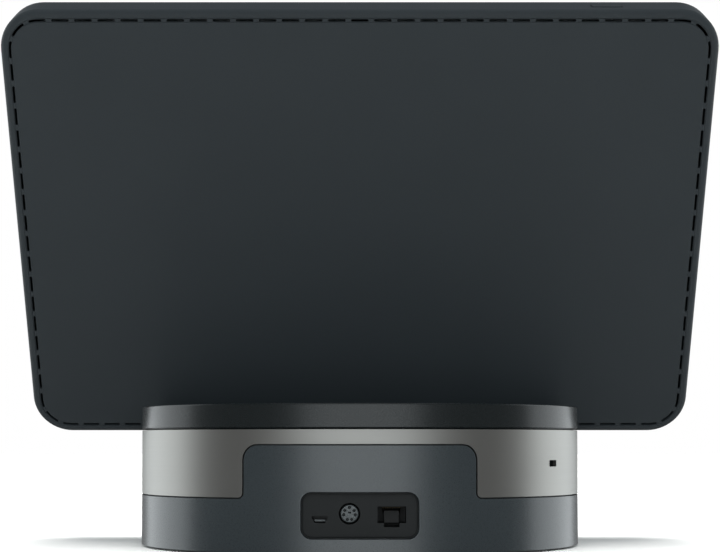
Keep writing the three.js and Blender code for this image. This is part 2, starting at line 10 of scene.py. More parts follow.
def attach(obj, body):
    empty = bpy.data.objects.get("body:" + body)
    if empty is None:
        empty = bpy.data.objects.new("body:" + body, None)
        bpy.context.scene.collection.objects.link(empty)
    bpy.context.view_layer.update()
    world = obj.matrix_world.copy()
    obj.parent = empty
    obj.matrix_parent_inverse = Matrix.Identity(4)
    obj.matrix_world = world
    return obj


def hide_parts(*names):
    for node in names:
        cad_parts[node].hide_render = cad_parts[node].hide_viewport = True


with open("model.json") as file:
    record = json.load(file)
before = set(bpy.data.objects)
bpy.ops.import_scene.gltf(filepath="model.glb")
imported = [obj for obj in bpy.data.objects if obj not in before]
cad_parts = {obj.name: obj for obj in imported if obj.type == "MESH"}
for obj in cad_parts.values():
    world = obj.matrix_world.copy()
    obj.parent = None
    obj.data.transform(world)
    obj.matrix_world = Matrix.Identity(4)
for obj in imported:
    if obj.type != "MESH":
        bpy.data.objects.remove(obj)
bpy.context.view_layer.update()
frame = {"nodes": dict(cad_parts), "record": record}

mm = 0.001  # pieces are shaped in millimetres, then set down in metres


# where things are, from the frame

joints = {joint["name"]: joint for joint in frame["record"]["behaviour"]["joints"]}
tiltAxis = Vector(joints["display_tilt"]["pos_m"])
downScreen = Vector(joints["power_button_press"]["axis"])
lean = math.atan2(-downScreen.y, -downScreen.z)
onTable = Matrix()
onScreen = Matrix.Translation(tiltAxis) @ Matrix.Rotation(-lean, 4, "X")
boxes = {}  # the corners already worked out


def nodeBox(node, place=onTable):
    # low and high corners in millimetres, in the frame of place
    key = (node, place is onScreen)
    if key not in boxes:
        inverse = place.inverted()
        points = [inverse @ v.co for v in frame["nodes"][node].data.vertices]
        low = Vector([min(p[i] for p in points) for i in range(3)]) / mm
        high = Vector([max(p[i] for p in points) for i in range(3)]) / mm
        boxes[key] = (low, high)
    return boxes[key]


# camera and light

cameraSet = {
    "distance": 0.7509,  # from the middle of the base
    "height": 0.0466,
    "pitch": 2.77,  # degrees up from level
    "lens": 79.84,
    "shiftX": 0.0002,
    "shiftY": 0.125,
}


def makeCamera():
    data = bpy.data.cameras.new("camera")
    data.lens = cameraSet["lens"]
    data.sensor_width = 36.0
    data.shift_x = cameraSet["shiftX"]
    data.shift_y = cameraSet["shiftY"]
    data.clip_start = 0.01
    camera = bpy.data.objects.new("camera", data)
    camera.location = (0, cameraSet["distance"], cameraSet["height"])
    camera.rotation_euler = (math.radians(90 + cameraSet["pitch"]), 0, math.pi)
    bpy.context.collection.objects.link(camera)
    bpy.context.scene.camera = camera


# turn is in degrees from the side of the sockets, towards +X; power in watts
softboxes = [
    {"name": "sideLeft", "turn": 111, "distance": 1.3, "height": 0.35, "size": (1.45, 1.7), "power": 19},
    {"name": "sideRight", "turn": -111, "distance": 1.3, "height": 0.35, "size": (1.45, 1.7), "power": 19},
    {"name": "rear", "turn": 0, "distance": 1.6, "height": 0.3, "size": (1.05, 1.3), "power": 11.7},
    {"name": "front", "turn": 180, "distance": 1.4, "height": 1.3, "size": (1.2, 0.8), "power": 0.45},
    {"name": "fill", "turn": 0, "distance": 1.6, "height": 0.25, "size": (1.2, 0.4), "power": 11},
]

studio = {
    "background": 1.0,
    "ambient": 0.24,  # of the dim room, level with the object
    "dusk": 0.06,  # of the dim room, above and below
    "duskFrom": 0.1,  # how steep a direction is, as the sine of its height
    "duskTo": 0.45,
    "poles": 1.6,  # straight up and straight down
    "polesFrom": 0.88,
    "aimHeight": 0.09,  # of the point the softboxes face
    "softboxColor": (0.915, 0.975, 1.0),  # a little cooler than the paper
    "floorSize": 6.0,
    "floorColor": "#F4F4F2",
    "overhead": 3.9,
    "overheadAngle": 40.0,  # degrees, for a soft shadow
}


def addLight(name, data, place):
    light = bpy.data.objects.new(name, data)
    light.matrix_world = place
    light.visible_camera = False
    bpy.context.collection.objects.link(light)
    return light


def makeLights():
    for box in softboxes:
        data = bpy.data.lights.new(box["name"], "AREA")
        data.shape = "RECTANGLE"
        data.size, data.size_y = box["size"]
        data.energy = box["power"]
        data.color = studio["softboxColor"]
        turn = math.radians(box["turn"])
        away = box["distance"]
        spot = Vector((away * math.sin(turn), away * math.cos(turn), box["height"]))
        aim = (Vector((0, 0, studio["aimHeight"])) - spot).to_track_quat("-Z", "Y")
        light = addLight(box["name"], data, Matrix.Translation(spot) @ aim.to_matrix().to_4x4())
        light.visible_glossy = box["name"] != "fill"  # the fill lifts the shadows and leaves no shine
    data = bpy.data.lights.new("overhead", "SUN")
    data.energy = studio["overhead"]
    data.angle = math.radians(studio["overheadAngle"])
    overhead = addLight("overhead", data, Matrix.Translation((0, 0, 2)))
    overhead.visible_glossy = False  # a broad ceiling bounce, with no hot spot in the gloss


def makeWorld():
    # the gloss sees a dim room, darker above and below, and bright straight up and straight down
    world = bpy.data.worlds.new("studio")
    bpy.context.scene.world = world
    world.use_nodes = True
    tree = world.node_tree
    tree.nodes.clear()
    direction = addNode(tree, "ShaderNodeTexCoord").outputs["Generated"]
    parts = addNode(tree, "ShaderNodeSeparateXYZ", inputs={0: direction})
    steep = addNode(tree, "ShaderNodeMath", {"operation": "ABSOLUTE"}, {0: parts.outputs["Z"]})
    level = addNode(
        tree,
        "ShaderNodeMapRange",
        {"interpolation_type": "SMOOTHSTEP"},
        {
            0: steep.outputs[0],
            1: studio["duskFrom"],
            2: studio["duskTo"],
            3: studio["ambient"],
            4: studio["dusk"],
        },
    )
    pole = addNode(
        tree,
        "ShaderNodeMapRange",
        {"interpolation_type": "SMOOTHSTEP"},
        {0: steep.outputs[0], 1: studio["polesFrom"], 2: 1.0, 3: 0.0, 4: studio["poles"]},
    )
    both = {0: level.outputs[0], 1: pole.outputs[0]}
    strength = addNode(tree, "ShaderNodeMath", {"operation": "ADD"}, both)
    path = addNode(tree, "ShaderNodeLightPath")
    seen = addNode(tree, "ShaderNodeBackground", inputs={"Strength": studio["background"]})
    dim = addNode(tree, "ShaderNodeBackground", inputs={"Strength": strength.outputs[0]})
    mix = addNode(
        tree,
        "ShaderNodeMixShader",
        inputs={0: path.outputs["Is Camera Ray"], 1: dim.outputs[0], 2: seen.outputs[0]},
    )
    for background in (seen, dim):
        background.inputs["Color"].default_value = (1, 1, 1, 1)
    addNode(tree, "ShaderNodeOutputWorld", inputs={"Surface": mix.outputs[0]})


def makeFloor():
    bm = bmesh.new()
    bmesh.ops.create_grid(bm, x_segments=1, y_segments=1, size=studio["floorSize"])
    mesh = bpy.data.meshes.new("floor")
    bm.to_mesh(mesh)
    bm.free()
    floor = bpy.data.objects.new("floor", mesh)
    floor.visible_glossy = False  # the gloss shows the softboxes, not the white paper
    floor.visible_shadow = False  # the softboxes reach below the table top, as round a glass table
    bpy.context.collection.objects.link(floor)
    mesh.materials.append(finishes["floor"])


# materials


def toLinear(hexColor):
    values = [int(hexColor[i : i + 2], 16) / 255 for i in (1, 3, 5)]
    return tuple(v / 12.92 if v <= 0.04045 else ((v + 0.055) / 1.055) ** 2.4 for v in values) + (1.0,)


def perMetre(millimetres):
    # noise scale for features of that real size
    return 1.0 / (millimetres * mm)


def addNode(tree, kind, settings=None, inputs=None):
    node = tree.nodes.new(kind)
    for name, value in (settings or {}).items():
        setattr(node, name, value)
    for name, value in (inputs or {}).items():
        if isinstance(value, bpy.types.NodeSocket):
            tree.links.new(value, node.inputs[name])
        else:
            node.inputs[name].default_value = value
    return node


driftSize = 45  # millimetres, of the slow drift between a finish's two colours


def surface(name, light, dark, roughness, grain, depth, settings=None, uneven=0.06, streak=None):
    # fine grain or streaks in the gloss and the relief, and a slow drift of colour; sizes in millimetres
    # real moulded and brushed grain is finer than 0.3, and is drawn that coarse or more so it shows
    material = bpy.data.materials.new(name)
    material.use_nodes = True
    tree = material.node_tree
    tree.nodes.clear()
    place = addNode(tree, "ShaderNodeTexCoord").outputs["Object"]
    scale = (perMetre(grain),) * 3
    if streak:
        scale = (perMetre(streak), perMetre(streak), perMetre(grain))
    stretched = addNode(tree, "ShaderNodeMapping", inputs={"Vector": place, "Scale": scale})
    pores = addNode(
        tree,
        "ShaderNodeTexNoise",
        inputs={"Vector": stretched.outputs[0], "Scale": 1.0, "Detail": 2.0, "Roughness": 0.55},
    )
    gloss = addNode(
        tree,
        "ShaderNodeMapRange",
        inputs={0: pores.outputs[0], 1: 0.3, 2: 0.7, 3: roughness - uneven, 4: roughness + uneven},
    )
    bump = addNode(
        tree,
        "ShaderNodeBump",
        inputs={"Strength": 0.5, "Distance": depth * mm, "Height": pores.outputs[0]},
    )
    shader = addNode(
        tree,
        "ShaderNodeBsdfPrincipled",
        inputs={"Roughness": gloss.outputs[0], "Normal": bump.outputs[0], **(settings or {})},
    )
    if dark:
        cloud = addNode(
            tree,
            "ShaderNodeTexNoise",
            inputs={"Vector": place, "Scale": perMetre(driftSize), "Detail": 3.0, "Roughness": 0.5},
        )
        tone = addNode(
            tree,
            "ShaderNodeMix",
            {"data_type": "RGBA"},
            {0: cloud.outputs[0], 6: toLinear(dark), 7: toLinear(light)},
        )
        tree.links.new(tone.outputs[2], shader.inputs["Base Color"])
    else:
        shader.inputs["Base Color"].default_value = toLinear(light)
    addNode(tree, "ShaderNodeOutputMaterial", inputs={"Surface": shader.outputs[0]})
    return material


metal = {"Metallic": 1.0}

finishes = {
    # satin-painted ABS of the screen: fine spark-eroded grain that spreads every reflection
    "casing_plastic": surface("satinAbsCasing", "#1F2427", "#1C2124", 0.68, 0.35, 0.006, {"IOR": 1.33}),
    # the same paint on the base, a little smoother, so it mirrors the softboxes
    "base_plastic": surface("satinAbsBase", "#1E2427", "#1B2124", 0.3, 0.3, 0.004, {"IOR": 1.5}),
    # the cap: darker and smoother still
    "cap_plastic": surface("satinAbsCap", "#0E1213", "#0B0F10", 0.28, 0.3, 0.004, {"IOR": 1.36}),
    # black ABS of inner mouldings: matt, with a visible texture
    "inner_plastic": surface("mattBlackAbs", "#1C1F20", "#181A1B", 0.6, 0.5, 0.02),
    # the same ABS in the socket bay, its colour darkened as painted shade of the recess; the plug stop deep
    # in the LAN opening takes it too
    "bay_plastic_and_shade": surface("absTrayAndShade", "#0A0D0E", "#080B0C", 0.5, 0.5, 0.01, {"IOR": 1.3}),
    # glass-filled nylon deep in the sockets: black and quite dull, its colour darkened further as painted
    # shade of the deep openings
    "deep_nylon_and_shade": surface("blackNylonAndShade", "#060707", "#040505", 0.6, 0.5, 0.01, {"IOR": 1.4}),
    # clear-anodised aluminium, finely brushed round the base: a soft grey shine in very faint level streaks
    "band_metal": surface(
        "brushedAluminium",
        "#878683",
        "#81807D",
        0.44,
        0.4,
        0.001,
        metal,
        uneven=0.012,
        streak=60,
    ),
    # strengthened glass over black ink: a sharp, dark reflection with hardly visible smears
    "cover_glass": surface("blackEdgeGlass", "#040404", None, 0.05, 30, 0.0001, {"IOR": 1.52}, uneven=0.02),
    # the same glass over the unlit panel: a touch greyer than the black round it
    "screen_window": surface(
        "screenWindowGlass",
        "#0A0C0F",
        None,
        0.05,
        30,
        0.0001,
        {"IOR": 1.52},
        uneven=0.02,
    ),
    # anti-glare film of the display panel behind the glass
    "display_panel": surface("panelFilm", "#17191C", "#141619", 0.4, 0.4, 0.002),
    # glass-filled nylon of the socket cores: lighter than the casing, with a dull gloss
    "socket_insert": surface("glassFilledNylonInsert", "#34393B", "#2E3335", 0.45, 0.4, 0.006),
    # oxide-blackened steel of the small socket's shell: the coat leaves only a dull gloss
    "usb_shell": surface("blackenedSteel", "#060606", "#040404", 0.5, 0.5, 0.005, {"IOR": 1.45}),
    # zinc-plated sheet steel: a grey shine with cloudy spangle
    "steel": surface("zincPlatedSteel", "#A9ABAD", "#8C8F92", 0.38, 1.2, 0.004, metal),
    # rolled aluminium sheet: brighter, with a faint grain
    "alloy": surface("rolledAluminium", "#B7B9BA", "#A8AAAB", 0.42, 0.6, 0.003, metal, streak=12),
    # green solder mask over copper: half glossy and slightly rippled
    "circuit_board": surface("solderMask", "#1E5236", "#184329", 0.35, 2.0, 0.01),
    # thin gold plating on phosphor bronze springs: a dim, warm shine
    "contact_gold": surface("goldFlash", "#54462A", "#4A3D24", 0.4, 0.4, 0.002, metal),
    # moulded silicone rubber: dull, almost without highlights
    "foot_rubber": surface("siliconeRubber", "#1A1A1A", "#141414", 0.85, 0.6, 0.02, {"IOR": 1.41}),
    # doped paper of a speaker cone: fibrous and dull
    "speaker_paper": surface("conePaper", "#2B2825", "#211F1C", 0.9, 0.8, 0.03),
    # PVC jacket: matt black with a slight sheen
    "lead_rubber": surface("pvcJacket", "#151515", "#101010", 0.55, 0.7, 0.01),
    # matt seamless paper under the object
    "floor": surface("seamlessPaper", studio["floorColor"], None, 0.9, 2.0, 0.01),
}
print("materials ready:", len(finishes))


# bmesh steps that many pieces share


def bevel(bm, items, width, segments, affect="EDGES", clamp=True):
    bmesh.ops.bevel(
        bm,
        geom=list(items),
        offset=width,
        segments=segments,
        profile=0.5,
        affect=affect,
        material=-1,
        clamp_overlap=clamp,
    )


def cutAt(bm, spot, normal=(1, 0, 0), clearInner=False):
    bmesh.ops.bisect_plane(
        bm,
        geom=bm.verts[:] + bm.edges[:] + bm.faces[:],
        dist=1e-5,
        plane_co=spot,
        plane_no=normal,
        clear_inner=clearInner,
    )


# outlines are closed wire loops, or faces with keepFace, in the X-Z plane at Y = level


def outline(bm, corners, radii, level=0.0, segments=8, keepFace=False):
    # corner points, each rounded by its own radius
    before = set(bm.faces)
    verts = [bm.verts.new((x, level, z)) for x, z in corners]
    bm.faces.new(verts)
    for vert, radius in zip(verts, radii):
        if radius > 0:
            bevel(bm, [vert], radius, segments, "VERTICES", clamp=False)
    face = (set(bm.faces) - before).pop()
    if keepFace:
        return face
    edges = list(face.edges)
    bmesh.ops.delete(bm, geom=[face], context="FACES_ONLY")
    return edges


def boxCorners(x0, x1, z0, z1):
    return [(x0, z0), (x1, z0), (x1, z1), (x0, z1)]


def roundedBox(bm, x0, x1, z0, z1, radius, level=0.0, segments=8, keepFace=False):
    return outline(bm, boxCorners(x0, x1, z0, z1), [radius] * 4, level, segments, keepFace)


def centredBox(bm, x, z, wide, tall, radius, level=0.0, segments=8, keepFace=False):
    # wide and tall are half sizes
    return roundedBox(bm, x - wide, x + wide, z - tall, z + tall, radius, level, segments, keepFace)


def circle(bm, x, z, radius, level=0.0, segments=32):
    place = Matrix.Translation((x, level, z)) @ Matrix.Rotation(math.pi / 2, 4, "X")
    made = bmesh.ops.create_circle(bm, cap_ends=False, segments=segments, radius=radius, matrix=place)
    return list(dict.fromkeys(edge for vert in made["verts"] for edge in vert.link_edges))


def fillBetween(bm, edges):
    made = bmesh.ops.triangle_fill(bm, use_beauty=True, use_dissolve=False, edges=edges, normal=(0, 1, 0))
    return [item for item in made["geom"] if isinstance(item, bmesh.types.BMFace)]


def push(bm, faces, vector, keep=False):
    # extrudes the faces and moves them; keep leaves the first ones behind, as the far side of a solid
    made = bmesh.ops.extrude_face_region(bm, geom=list(faces), use_keep_orig=True)
    moved = [item for item in made["geom"] if isinstance(item, bmesh.types.BMVert)]
    bmesh.ops.translate(bm, verts=moved, vec=vector)
    if not keep:
        bmesh.ops.delete(bm, geom=list(faces), context="FACES")
    return [item for item in made["geom"] if isinstance(item, bmesh.types.BMFace)]


def inset(bm, face, thickness, depth=0.0):
    bmesh.ops.inset_region(bm, faces=[face], thickness=thickness, depth=depth, use_even_offset=True)
    return face


def soften(bm, width, segments=2, angle=40, test=None):
    # rounds the sharp edges that pass the test
    bmesh.ops.recalc_face_normals(bm, faces=bm.faces)
    sharp = [
        edge
        for edge in bm.edges
        if len(edge.link_faces) == 2
        and edge.calc_face_angle() > math.radians(angle)
        and (test is None or test(edge))
    ]
    bevel(bm, sharp, width, segments)


# pieces: from bmesh to an object that rides on its body


def makeObject(name, bm):
    bmesh.ops.recalc_face_normals(bm, faces=bm.faces)
    mesh = bpy.data.meshes.new(name)
    bm.to_mesh(mesh)
    bm.free()
    piece = bpy.data.objects.new(name, mesh)
    bpy.context.collection.objects.link(piece)
    return piece


def applyModifiers(piece):
    depsgraph = bpy.context.evaluated_depsgraph_get()
    mesh = bpy.data.meshes.new_from_object(piece.evaluated_get(depsgraph))
    piece.modifiers.clear()
    old = piece.data
    piece.data = mesh
    mesh.name = piece.name
    bpy.data.meshes.remove(old)


def carve(piece, cutter):
    # takes the cutter's shape away from the piece
    modifier = piece.modifiers.new("carve", "BOOLEAN")
    modifier.operation = "DIFFERENCE"
    modifier.solver = "EXACT"
    modifier.object = cutter
    applyModifiers(piece)
    bpy.data.objects.remove(cutter)


def settle(piece, place, body, slotName, finishNames, *replaced):
    # sets the piece down in metres on its body, with its finish
    piece.data.transform(place @ Matrix.Scale(mm, 4))
    piece.data.materials.clear()
    for finishName in finishNames:
        piece.data.materials.append(finishes[finishName])
    for face in piece.data.polygons:
        face.use_smooth = True
    piece.data.set_sharp_from_angle(angle=math.radians(50))
    weights = piece.modifiers.new("faceWeights", "WEIGHTED_NORMAL")
    weights.keep_sharp = True
    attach(piece, body)
    if replaced:
        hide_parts(*replaced)
    return piece


# the oval of the base, by the length of arc from the middle of the socket side

oval = {
    "power": 2.3,  # 2 would be an ellipse
    "steps": 1800,
    "slice": 2.2,  # between the cuts that let a flat strip bend
}


def ovalTable():
    high = nodeBox("lower_housing")[1]
    oval["halfWidth"] = high.x
    oval["halfDepth"] = high.y
    power = 2 / oval["power"]
    rows = []
    length = 0.0
    for i in range(oval["steps"] + 1):
        turn = math.pi * i / oval["steps"]
        sine = max(math.sin(turn), 0.0)
        cosine = math.cos(turn)
        x = high.x * sine**power
        y = high.y * math.copysign(abs(cosine) ** power, cosine)
        if rows:
            length += math.dist((x, y), rows[-1][1:])
        rows.append((length, x, y))
    oval["rows"] = rows
    oval["lengths"] = [row[0] for row in rows]
    oval["half"] = length
    rear = rows[: oval["steps"] // 2 + 1]
    oval["rearX"] = [row[1] for row in rear]


def arcAt(x):
    # arc length from the middle of the socket side to where the oval's rear half has that x
    i = bisect.bisect_left(oval["rearX"], abs(x))
    low, high = oval["rows"][i - 1], oval["rows"][i]
    share = (abs(x) - low[1]) / (high[1] - low[1])
    return math.copysign(low[0] + share * (high[0] - low[0]), x)


def onOval(arc):
    # point and outward normal
    length = min(abs(arc), oval["half"])
    i = min(max(bisect.bisect_left(oval["lengths"], length), 1), oval["steps"])
    low, high = oval["rows"][i - 1], oval["rows"][i]
    share = (length - low[0]) / (high[0] - low[0])
    x = low[1] + share * (high[1] - low[1])
    y = low[2] + share * (high[2] - low[2])
    power = oval["power"] - 1
    normal = Vector(
        (
            (x / oval["halfWidth"]) ** power / oval["halfWidth"],
            math.copysign((abs(y) / oval["halfDepth"]) ** power, y) / oval["halfDepth"],
        )
    ).normalized()
    side = math.copysign(1, arc)
    return side * x, y, side * normal.x, normal.y


def wrapRoundOval(bm):
    # bends a flat strip, whose X is arc length and Y is distance out of the wall, round the oval
    half = oval["half"]
    ends = [
        face
        for face in bm.faces
        if any(abs(sum(vert.co.x - end for vert in face.verts)) < 1e-3 for end in (-half, half))
    ]
    bmesh.ops.delete(bm, geom=ends, context="FACES_ONLY")
    count = int(half / oval["slice"])
    for i in range(-count, count + 1):
        cutAt(bm, (i * half / (count + 0.5), 0, 0))
    for vert in bm.verts:
        x, y, nx, ny = onOval(vert.co.x)
        vert.co = (x + nx * vert.co.y, y + ny * vert.co.y, vert.co.z)
    bmesh.ops.remove_doubles(bm, verts=bm.verts, dist=1e-3)
    bmesh.ops.holes_fill(bm, edges=[edge for edge in bm.edges if edge.is_boundary], sides=0)


def ovalFace(bm, insetBy, z, segments=192):
    # flat face in the X-Y plane
    made = bmesh.ops.create_circle(bm, cap_ends=True, segments=segments, radius=1.0)
    power = 2 / oval["power"]
    for vert in made["verts"]:
        x, y = vert.co.x, vert.co.y
        vert.co = (
            math.copysign(abs(x) ** power, x) * (oval["halfWidth"] - insetBy),
            math.copysign(abs(y) ** power, y) * (oval["halfDepth"] - insetBy),
            z,
        )
    return made["verts"][0].link_faces[0]


# base casings

seam = {
    "gap": 0.6,  # between two casings
    "wall": 2.0,
    "bandWall": 1.6,
    "edge": 0.32,
    "bandEdge": 0.42,
}


def outerRim(edge):
    # the edges on the outer face of a flat strip, but not its two ends or an edge as long as the strip
    onFace = all(abs(vert.co.y) < 1e-4 for vert in edge.verts)
    atEnd = all(abs(abs(vert.co.x) - oval["half"]) < 1e-3 for vert in edge.verts)
    return onFace and not atEnd


pod = {"halfWidth": 48.6, "cornerRadius": 6.2, "footRadius": 2.5}
recess = {"halfWidth": 24.6, "low": 6.9, "high": 26.4, "radius": 4.6, "gap": 0.15, "wall": 0.5}
soundSlots = {
    "rows": (8.5, 12.5, 16.5),
    "first": 19.5,
    "pitch": 10.0,
    "count": 5,
    "length": 7.6,
    "height": 1.2,
}
endRound = 0.98  # share of a slot's half height, so its ends are all but half circles


def makeLowerHousing():
    low, high = nodeBox("lower_housing")
    bandLow = nodeBox("metal_band")[0].z
    half = oval["half"]
    edgeZ = bandLow - seam["gap"]
    side = arcAt(pod["halfWidth"])
    bm = bmesh.new()
    corners = [
        (-half, low.z),
        (half, low.z),
        (half, edgeZ),
        (side, edgeZ),
        (side, high.z),
        (-side, high.z),
        (-side, edgeZ),
        (-half, edgeZ),
    ]
    radii = [0, 0, 0, pod["footRadius"], pod["cornerRadius"], pod["cornerRadius"], pod["footRadius"], 0]
    edges = outline(bm, corners, radii, segments=10)
    mouth = arcAt(recess["halfWidth"])
    edges += roundedBox(bm, -mouth, mouth, recess["low"], recess["high"], recess["radius"], segments=10)
    reach = soundSlots["length"] / 2
    rise = soundSlots["height"] / 2
    for hand in (-1, 1):
        for z in soundSlots["rows"]:
            for i in range(soundSlots["count"]):
                x = hand * (half - arcAt(soundSlots["first"] + i * soundSlots["pitch"]))
                edges += centredBox(bm, x, z, reach, rise, rise * endRound, segments=4)
    faces = fillBetween(bm, edges)
    push(bm, faces, (0, -seam["wall"], 0), keep=True)
    soften(bm, seam["edge"], segments=3, angle=50, test=outerRim)
    wrapRoundOval(bm)
    piece = makeObject("lowerHousing", bm)
    settle(piece, onTable, "base", "casing_plastic", ["base_plastic"], "lower_housing")


lockSlot = {"x": -83.8, "z": 37.9, "width": 5.8, "height": 2.8, "radius": 0.45}


def makeMetalBand():
    low, high = nodeBox("metal_band")
    podTop = nodeBox("lower_housing")[1].z + seam["gap"]
    half = oval["half"]
    side = arcAt(pod["halfWidth"] + seam["gap"])
    bm = bmesh.new()
    corners = [
        (-half, low.z),
        (-side, low.z),
        (-side, podTop),
        (side, podTop),
        (side, low.z),
        (half, low.z),
        (half, high.z),
        (-half, high.z),
    ]
    lower = pod["footRadius"] - seam["gap"]
    upper = pod["cornerRadius"] + seam["gap"]
    edges = outline(bm, corners, [0, lower, upper, upper, lower, 0, 0, 0], segments=10)
    x = arcAt(lockSlot["x"])
    reach = lockSlot["width"] / 2
    rise = lockSlot["height"] / 2
    edges += centredBox(bm, x, lockSlot["z"], reach, rise, lockSlot["radius"], segments=4)
    push(bm, fillBetween(bm, edges), (0, -seam["bandWall"], 0), keep=True)
    soften(bm, seam["bandEdge"], segments=3, angle=50, test=outerRim)
    wrapRoundOval(bm)
    piece = makeObject("metalBand", bm)
    settle(piece, onTable, "base", "band_metal", ["band_metal"], "metal_band")


cap = {
    "edge": 0.7,
    "skirtInset": 0.8,
    "skirt": 0.5,
    "skirtEdge": 0.2,
    "wall": 1.4,
    "roof": 2.0,
    "frontCorner": 3.0,
    "clearance": 4.5,  # along the rim, free of points, so the front corners can be rounded
}


def makeTopCap():
    low, high = nodeBox("top_cap")
    bm = bmesh.new()
    wallLow = low.z + cap["skirt"]
    ovalFace(bm, 0, wallLow)
    cutAt(bm, (0, low.y, 0), (0, 1, 0), clearInner=True)
    ends = [vert for vert in bm.verts if abs(vert.co.y - low.y) < 1e-3]
    close = [
        vert
        for vert in bm.verts
        if vert not in ends and min((vert.co - end.co).length for end in ends) < cap["clearance"]
    ]
    bmesh.ops.dissolve_verts(bm, verts=close)
    bevel(bm, ends, cap["frontCorner"], 6, "VERTICES")
    bottom = bm.faces[:][0]
    roof = push(bm, [bottom], (0, 0, high.z - wallLow), keep=True)[0]
    inset(bm, bottom, cap["skirtInset"])
    skirt = push(bm, [bottom], (0, 0, -cap["skirt"]))[0]
    inset(bm, skirt, cap["wall"])
    push(bm, [skirt], (0, 0, high.z - cap["roof"] - low.z))
    bevel(bm, roof.edges, cap["edge"], 6, clamp=False)
    soften(bm, cap["skirtEdge"], test=lambda edge: all(vert.co.z < wallLow + 0.01 for vert in edge.verts))
    piece = makeObject("topCap", bm)
    settle(piece, onTable, "base", "casing_plastic", ["cap_plastic"], "top_cap")


deck = {
    "armX": 45.0,
    "armHalf": 3.2,
    "armRear": -31.6,
    "armFront": -42.2,
    "armCorner": 1.0,
    "leadX": -8.0,
    "leadHalf": 2.6,
    "leadCorner": 2.0,
    "edge": 0.3,
}


def swapToPlan(bm):
    # outlines are drawn in X-Z: this lays them in plan, Z becoming Y and Y becoming -Z
    bmesh.ops.rotate(bm, cent=(0, 0, 0), matrix=Matrix.Rotation(-math.pi / 2, 3, "X"), verts=bm.verts)


def planOval(bm, insetBy, level=0.0):
    # the oval as a wire loop in the X-Z plane, for outlines that are laid in plan later
    face = ovalFace(bm, insetBy, -level)
    edges = list(face.edges)
    bmesh.ops.delete(bm, geom=[face], context="FACES_ONLY")
    verts = list({vert for edge in edges for vert in edge.verts})
    bmesh.ops.rotate(bm, cent=(0, 0, 0), matrix=Matrix.Rotation(math.pi / 2, 3, "X"), verts=verts)
    return edges


def makeTopDeck():
    low, high = nodeBox("top_deck")
    bm = bmesh.new()
    edges = planOval(bm, oval["halfWidth"] - high.x)
    for x in (-deck["armX"], deck["armX"]):
        edges += roundedBox(
            bm,
            x - deck["armHalf"],
            x + deck["armHalf"],
            deck["armFront"],
            deck["armRear"],
            deck["armCorner"],
            segments=4,
        )
    leadY = tiltAxis.y / mm
    reach = deck["leadHalf"]
    x = deck["leadX"]
    edges += centredBox(bm, x, leadY, reach, reach, deck["leadCorner"], segments=5)
    faces = fillBetween(bm, edges)
    push(bm, faces, (0, high.z - low.z, 0), keep=True)
    soften(bm, deck["edge"], angle=50)
    swapToPlan(bm)
    bmesh.ops.translate(bm, verts=bm.verts, vec=(0, 0, high.z))
    piece = makeObject("topDeck", bm)
    settle(piece, onTable, "base", "casing_plastic", ["casing_plastic"], "top_deck")


# screen casings, in the screen's frame: +Y out of its back, +Z up

casing = {
    "radius": 18.0,
    "steps": 14,
    "wall": 2.2,
    "lip": 2.0,
    "rearLip": 3.65,
    "rearRound": 3.0,
    "frontRound": 0.6,
    "innerEdge": 0.12,
}
notch = {"front": -3.4, "bottom": -30.0, "top": 0.2, "depth": 20.0, "radius": 1.2}
button = {
    "width": 13.4,
    "height": 5.2,
    "y": -0.5,
    "gap": 0.3,
    "radius": 0.5,
    "edge": 0.2,
    "collar": 1.1,  # the rim under the casing that keeps the button in
    "collarDepth": 1.0,
}


def flatFace(bm, level):
    # the widest face that lies at that Y
    flat = [face for face in bm.faces if all(abs(vert.co.y - level) < 1e-4 for vert in face.verts)]
    return max(flat, key=lambda face: face.calc_area())


def screenBox(bm, insetBy, level, keepFace=False):
    low, high = nodeBox("screen_frame", onScreen)
    radius = casing["radius"] - insetBy
    return roundedBox(
        bm,
        low.x + insetBy,
        high.x - insetBy,
        low.z + insetBy,
        high.z - insetBy,
        radius,
        level,
        casing["steps"],
        keepFace,
    )


def notchCutter(bm):
    # room for the hinge arms and the lead as the screen tilts
    low, top = notch["bottom"], notch["top"]
    armX, armHalf = deck["armX"], deck["armHalf"]
    for x, half in ((-armX, armHalf), (armX, armHalf), (deck["leadX"], deck["leadHalf"])):
        edges = roundedBox(bm, x - half, x + half, low, top, notch["radius"], notch["front"], 5)
        push(bm, fillBetween(bm, edges), (0, notch["depth"], 0), keep=True)


